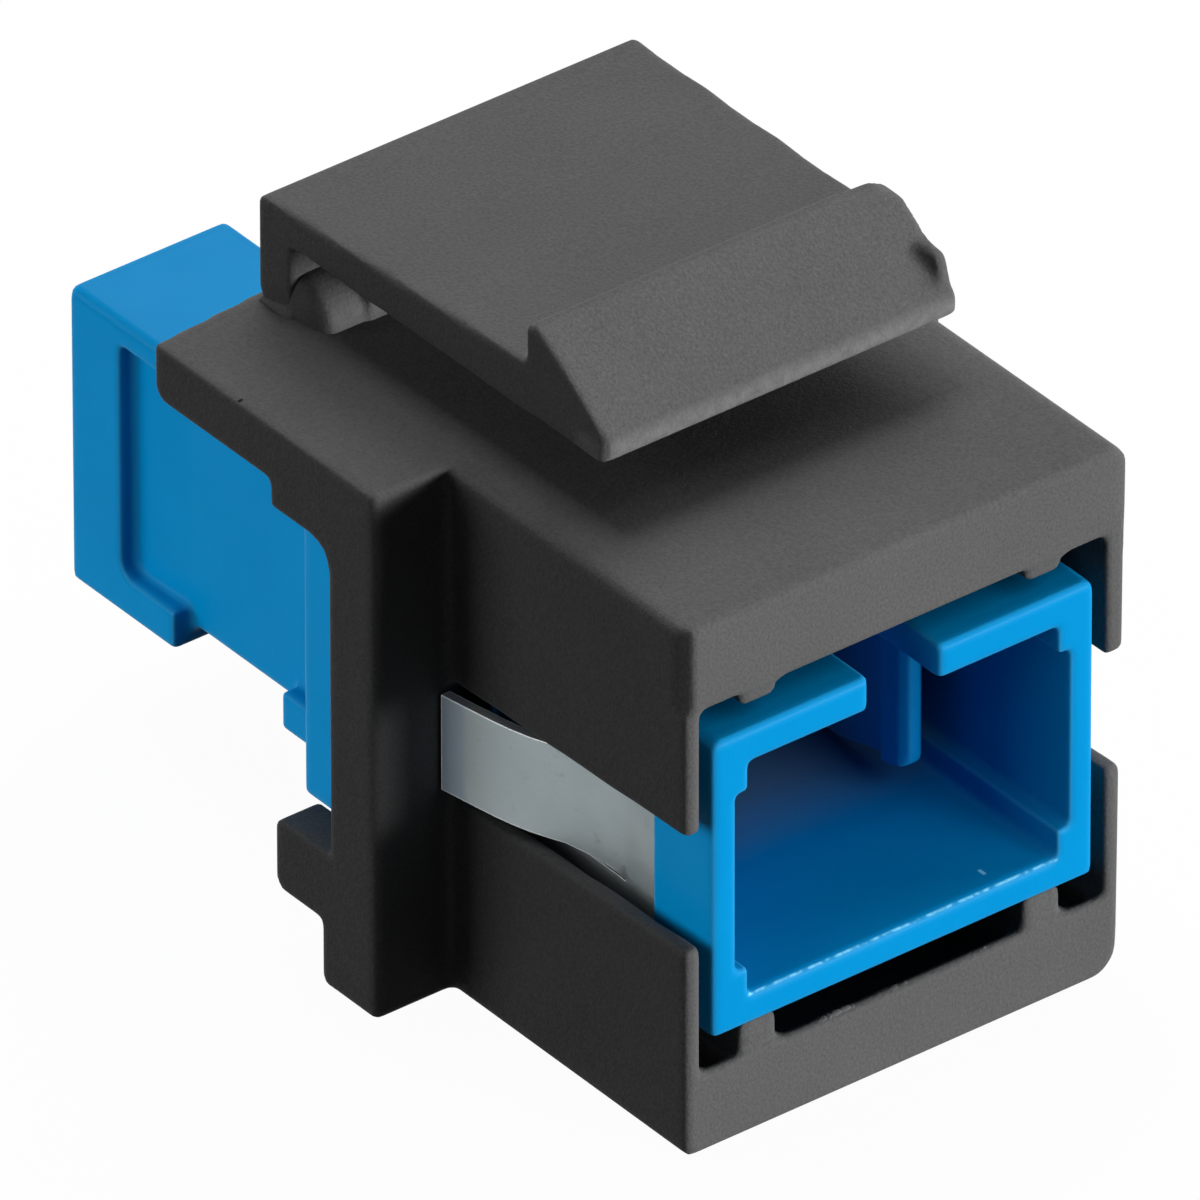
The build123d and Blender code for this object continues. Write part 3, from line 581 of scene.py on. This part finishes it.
def as_piece(shape, name, material):
    """Turn a bmesh into an object of that name, and free the bmesh."""
    mesh = bpy.data.meshes.new(name)
    shape.to_mesh(mesh)
    shape.free()
    mesh.materials.append(material)
    piece = bpy.data.objects.new(name, mesh)
    bpy.context.scene.collection.objects.link(piece)
    return piece


def carve(piece, boxes):
    """Cut boxes out of a piece, for good."""
    shape = bmesh.new()
    for x, y, z in boxes:
        add_box(shape, x, y, z)
    cutter = as_piece(shape, piece.name + "_cutter", piece.data.materials[0])
    cut = piece.modifiers.new("cut", "BOOLEAN")
    cut.operation = "DIFFERENCE"
    cut.solver = "EXACT"
    cut.object = cutter
    settle(piece)
    bpy.data.objects.remove(cutter)


# %% Moulded copies
SMOOTHING = 0.5
LEANNESS = 0.12


def cast(piece, voxel, rounds):
    """Give a closed piece a new, even and rounded skin from voxels of that many millimetres."""
    skin = piece.modifiers.new("skin", "REMESH")
    skin.mode = "VOXEL"
    skin.voxel_size = voxel * MM
    soft = piece.modifiers.new("soft", "SMOOTH")
    soft.factor = SMOOTHING
    soft.iterations = rounds
    lean = piece.modifiers.new("lean", "REMESH")
    lean.mode = "VOXEL"
    lean.voxel_size = voxel * MM
    lean.adaptivity = LEANNESS * voxel * MM
    lean.use_smooth_shade = True
    return settle(piece)


def moulded(cad_node, name, voxel, rounds, material, boxes=()):
    """A copy of a CAD solid with every edge rounded and with boxes cut out of it."""
    piece = plain_copy(cad_node, name, material)
    if boxes:
        carve(piece, boxes)
    return stands_for(cast(piece, voxel, rounds), cad_node)


# %% [markdown]
# ## Softened copies of the metal and ceramic parts
# Stamped strip and ground ceramic have crisp edges, barely broken. Here a narrow bevel is right.
# The flat faces are first cleared of the CAD mesh's triangles, so that only true edges get one.

# %% Softened copies
FLAT_WITHIN = radians(0.6)
SHADED_SHARP_FROM = radians(35)
BEVELLED_FROM = radians(48)
BEVEL_STEPS = 3


def softened(cad_node, name, edge, material):
    """A copy of a CAD solid with its sharp edges rounded by that radius in millimetres."""
    piece = plain_copy(cad_node, name, material)
    shape = bmesh.new()
    shape.from_mesh(piece.data)
    bmesh.ops.dissolve_limit(
        shape, angle_limit=FLAT_WITHIN, verts=shape.verts, edges=shape.edges, use_dissolve_boundaries=False
    )
    shape.to_mesh(piece.data)
    shape.free()
    piece.data.shade_smooth()
    piece.data.set_sharp_from_angle(angle=SHADED_SHARP_FROM)
    bevel = piece.modifiers.new("edges", "BEVEL")
    bevel.width = edge * MM
    bevel.segments = BEVEL_STEPS
    bevel.limit_method = "ANGLE"
    bevel.angle_limit = BEVELLED_FROM
    bevel.harden_normals = True
    bevel.use_clamp_overlap = True
    return stands_for(piece, cad_node)


# %% [markdown]
# ## Housing and latch arm
# Both are one moulding on the real thing. They are two pieces here because the arm bends at the
# foot of its post. The photograph shows nothing but darkness under the coupler, between its two
# ribs and beside them: the floor there is cored out, as thick floors of mouldings are. Three
# pockets are cut into the solid's flat floor before it is cast.

# %% Housing and latch arm
POCKET_WIDTHS = ((-6.5, -5.65), (-3.85, 3.85), (5.65, 6.5))
POCKET_LENGTH = (-13.55, -4.6)
POCKET_DEPTH = (-6.45, -5.0)
floor_pockets = [(width, POCKET_LENGTH, POCKET_DEPTH) for width in POCKET_WIDTHS]
moulded("keystone_housing", "housing_moulding", voxel=0.1, rounds=5, material=housing_plastic,
        boxes=floor_pockets)
moulded("latch_arm", "latch_moulding", voxel=0.09, rounds=6, material=housing_plastic)

# %% [markdown]
# ## Root of the latch arm
# The arm's post grows out of the housing through a thick root: two round drums in front of the
# post, a block between them and a soft skirt round its foot. On the real thing it bends when the
# latch is pressed; here it joins neither body and stays where it is. The shapes overlap, and
# casting makes them one.

# %% Root of the latch arm
ROOF = 8.45
ROOT_BOTTOM = 8.1
POST_FRONT = 4.43
DRUM_REACH = 1.36
DRUM_HEIGHT = 1.2
DRUM_SPAN = (4.75, 5.7)
DRUM_END = 0.45
BLOCK_HALF = DRUM_SPAN[0] - 0.12
BLOCK_LENGTH = (POST_FRONT - DRUM_REACH - 0.08, POST_FRONT + 0.3)
BLOCK_TOP = ROOF + 1.15
SKIRT_HALF = 6.3
SKIRT_LENGTH = (POST_FRONT - 0.1, 5.7)
SKIRT_TOP = ROOF + 0.07
shape = bmesh.new()
add_box(shape, (-BLOCK_HALF, BLOCK_HALF), BLOCK_LENGTH, (ROOT_BOTTOM, BLOCK_TOP))
add_box(shape, (-SKIRT_HALF, SKIRT_HALF), SKIRT_LENGTH, (ROOT_BOTTOM, SKIRT_TOP))
low, high = DRUM_SPAN
turn = Matrix.Rotation(radians(90), 4, "Y")
stretch = Matrix.Diagonal((1, DRUM_REACH * MM, DRUM_HEIGHT * MM, 1))
ball = Matrix.Diagonal((DRUM_END * MM, DRUM_REACH * MM, DRUM_HEIGHT * MM, 1))
for side in (-1, 1):
    middle = Matrix.Translation(Vector((side * (low + high) / 2, POST_FRONT, ROOF)) * MM)
    bmesh.ops.create_cone(shape, cap_ends=True, segments=64, radius1=1, radius2=1, depth=(high - low) * MM,
                          matrix=middle @ stretch @ turn)
    end = Matrix.Translation(Vector((side * high, POST_FRONT, ROOF)) * MM)
    bmesh.ops.create_icosphere(shape, subdivisions=4, radius=1, matrix=end @ ball)
root = cast(as_piece(shape, "latch_root", housing_plastic), voxel=0.08, rounds=4)
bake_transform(root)

# %% [markdown]
# ## Mould flash
# Where two halves of a mould meet, a little plastic escapes and tears off ragged. Here it sits
# on the top edge of the housing's lower lip. Geometry Nodes scatter small lumps along a line,
# each with its own size and place.

# %% Lumps along a line
def flash_tree():
    """Lumps of random size, scattered along a line."""
    tree = bpy.data.node_groups.new("mould_flash", "GeometryNodeTree")
    face = tree.interface
    sockets = {}
    for name, kind in (("Start", "Vector"), ("End", "Vector"), ("Count", "Int"), ("Smallest", "Vector"),
                       ("Largest", "Vector"), ("Wander", "Float"), ("Seed", "Int")):
        socket = face.new_socket(name=name, in_out="INPUT", socket_type="NodeSocket" + kind)
        sockets[name] = socket.identifier
    face.new_socket(name="Geometry", in_out="OUTPUT", socket_type="NodeSocketGeometry")
    given = node(tree, "NodeGroupInput").outputs
    line = node(tree, "GeometryNodeCurvePrimitiveLine", {"Start": given["Start"], "End": given["End"]})
    points = node(tree, "GeometryNodeCurveToPoints", {"Curve": line.outputs[0], "Count": given["Count"]},
                  mode="COUNT")
    # The lumps stray freely to the front and sides, but hardly to the rear, off the lip.
    low = node(tree, "ShaderNodeVectorMath", {0: (-1, -1, -1), "Scale": given["Wander"]}, operation="SCALE")
    high = node(tree, "ShaderNodeVectorMath", {0: (1, 0.2, 1), "Scale": given["Wander"]}, operation="SCALE")
    strayed = node(tree, "FunctionNodeRandomValue", {
        0: low.outputs[0], 1: high.outputs[0], "Seed": given["Seed"]
    }, data_type="FLOAT_VECTOR")
    moved = node(tree, "GeometryNodeSetPosition", {
        "Geometry": points.outputs[0], "Offset": strayed.outputs[0]
    })
    lump = node(tree, "GeometryNodeMeshIcoSphere", {"Radius": 1.0, "Subdivisions": 2})
    size = node(tree, "FunctionNodeRandomValue", {
        0: given["Smallest"], 1: given["Largest"], "Seed": given["Seed"]
    }, data_type="FLOAT_VECTOR")
    placed = node(tree, "GeometryNodeInstanceOnPoints", {
        "Points": moved.outputs[0], "Instance": lump.outputs[0], "Scale": size.outputs[0]
    })
    real = node(tree, "GeometryNodeRealizeInstances", {"Geometry": placed.outputs[0]})
    painted = node(tree, "GeometryNodeSetMaterial", {
        "Geometry": real.outputs[0], "Material": housing_plastic
    })
    node(tree, "NodeGroupOutput", {"Geometry": painted.outputs[0]})
    return tree, sockets


# %% Mould flash
LIP_EDGE = -13.7
flash_nodes, flash_inputs = flash_tree()


def flash_line(name, span, height, count, smallest, largest, wander, seed):
    """One ragged line of flash along the lip's edge, with all sizes in millimetres."""
    piece = as_piece(bmesh.new(), name, housing_plastic)
    scatter = piece.modifiers.new("flash", "NODES")
    scatter.node_group = flash_nodes
    scatter[flash_inputs["Start"]] = [value * MM for value in (span[0], LIP_EDGE, height)]
    scatter[flash_inputs["End"]] = [value * MM for value in (span[1], LIP_EDGE, height)]
    scatter[flash_inputs["Count"]] = count
    scatter[flash_inputs["Smallest"]] = [value * MM for value in smallest]
    scatter[flash_inputs["Largest"]] = [value * MM for value in largest]
    scatter[flash_inputs["Wander"]] = wander * MM
    scatter[flash_inputs["Seed"]] = seed
    settle(piece)
    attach(piece, "housing")
    print(name, "has", count, "lumps")


flash_line("lip_flash_left", span=(-2.9, -1.5), height=-5.67, count=11,
           smallest=(0.1, 0.08, 0.04), largest=(0.26, 0.15, 0.1), wander=0.05, seed=4)
flash_line("lip_flash_middle", span=(-0.7, 0.2), height=-5.66, count=7,
           smallest=(0.12, 0.08, 0.05), largest=(0.26, 0.15, 0.12), wander=0.04, seed=11)
flash_line("lip_flash_right", span=(2.6, 4.0), height=-5.68, count=7,
           smallest=(0.08, 0.06, 0.03), largest=(0.16, 0.1, 0.07), wander=0.04, seed=9)

# %% [markdown]
# ## Coupler
# Two blue shells meet at the middle of the flange, and each holds a sleeve holder with hooks.
# Their mould is finer than the housing's, and so are the voxels.

# %% Coupler
FINE_VOXEL = 0.08
SHELL_ROUNDS = 5
HOLDER_ROUNDS = 4
blue_pieces = [
    moulded(cad_node, name, FINE_VOXEL, rounds, coupler_plastic)
    for cad_node, name, rounds in (
        ("adapter_front_shell", "front_shell_moulding", SHELL_ROUNDS),
        ("adapter_rear_shell", "rear_shell_moulding", SHELL_ROUNDS),
        ("front_sleeve_holder", "front_holder_moulding", HOLDER_ROUNDS),
        ("rear_sleeve_holder", "rear_holder_moulding", HOLDER_ROUNDS),
    )
]

# %% [markdown]
# ## Clip and sleeve
# The clip is thin strip with edges barely broken by the press. The sleeve's edges are ground.

# %% Clip and sleeve
clip = softened("retaining_clip", "spring_clip", edge=0.04, material=clip_steel)
softened("alignment_sleeve", "split_sleeve", edge=0.03, material=zirconia)

# %% [markdown]
# ## Lights for the coupler alone
# In the photograph the blue sides and the steel that face left are much brighter than the grey
# sides beside them: they are strong colours, and the picture was lifted there. Weak lights that
# reach only those pieces do the same, and leave the housing's shaded side dark. One of them looks
# down into the front socket, which the low key hardly reaches, and one lifts the clip's side.

# %% Lights for the coupler alone
def only_for(lamp, pieces):
    """Let a lamp light these pieces and nothing else."""
    group = bpy.data.collections.new(lamp.name + "_receivers")
    for piece in pieces:
        group.objects.link(piece)
    lamp.light_linking.receiver_collection = group


lifted = blue_pieces + [clip]
in_front = [piece for piece in blue_pieces if piece.name.startswith("front_")]
only_for(softbox("coupler_fill_rear", (-0.8, 0.55, 0.3), level=0.46), lifted)
only_for(softbox("coupler_fill_left", (-1.0, 0.0, 0.2), level=0.38), lifted)
only_for(softbox("socket_fill", (0.1, -0.7, 0.7), level=0.33), in_front)
only_for(softbox("clip_fill", (-0.75, 0.1, 0.12), level=0.2), [clip])

# %% [markdown]
# ## Finish
# The CAD model's box is printed near the start. Here the picture is set to the Standard view transform.

# %% Finish
bpy.context.scene.view_settings.view_transform = "Standard"
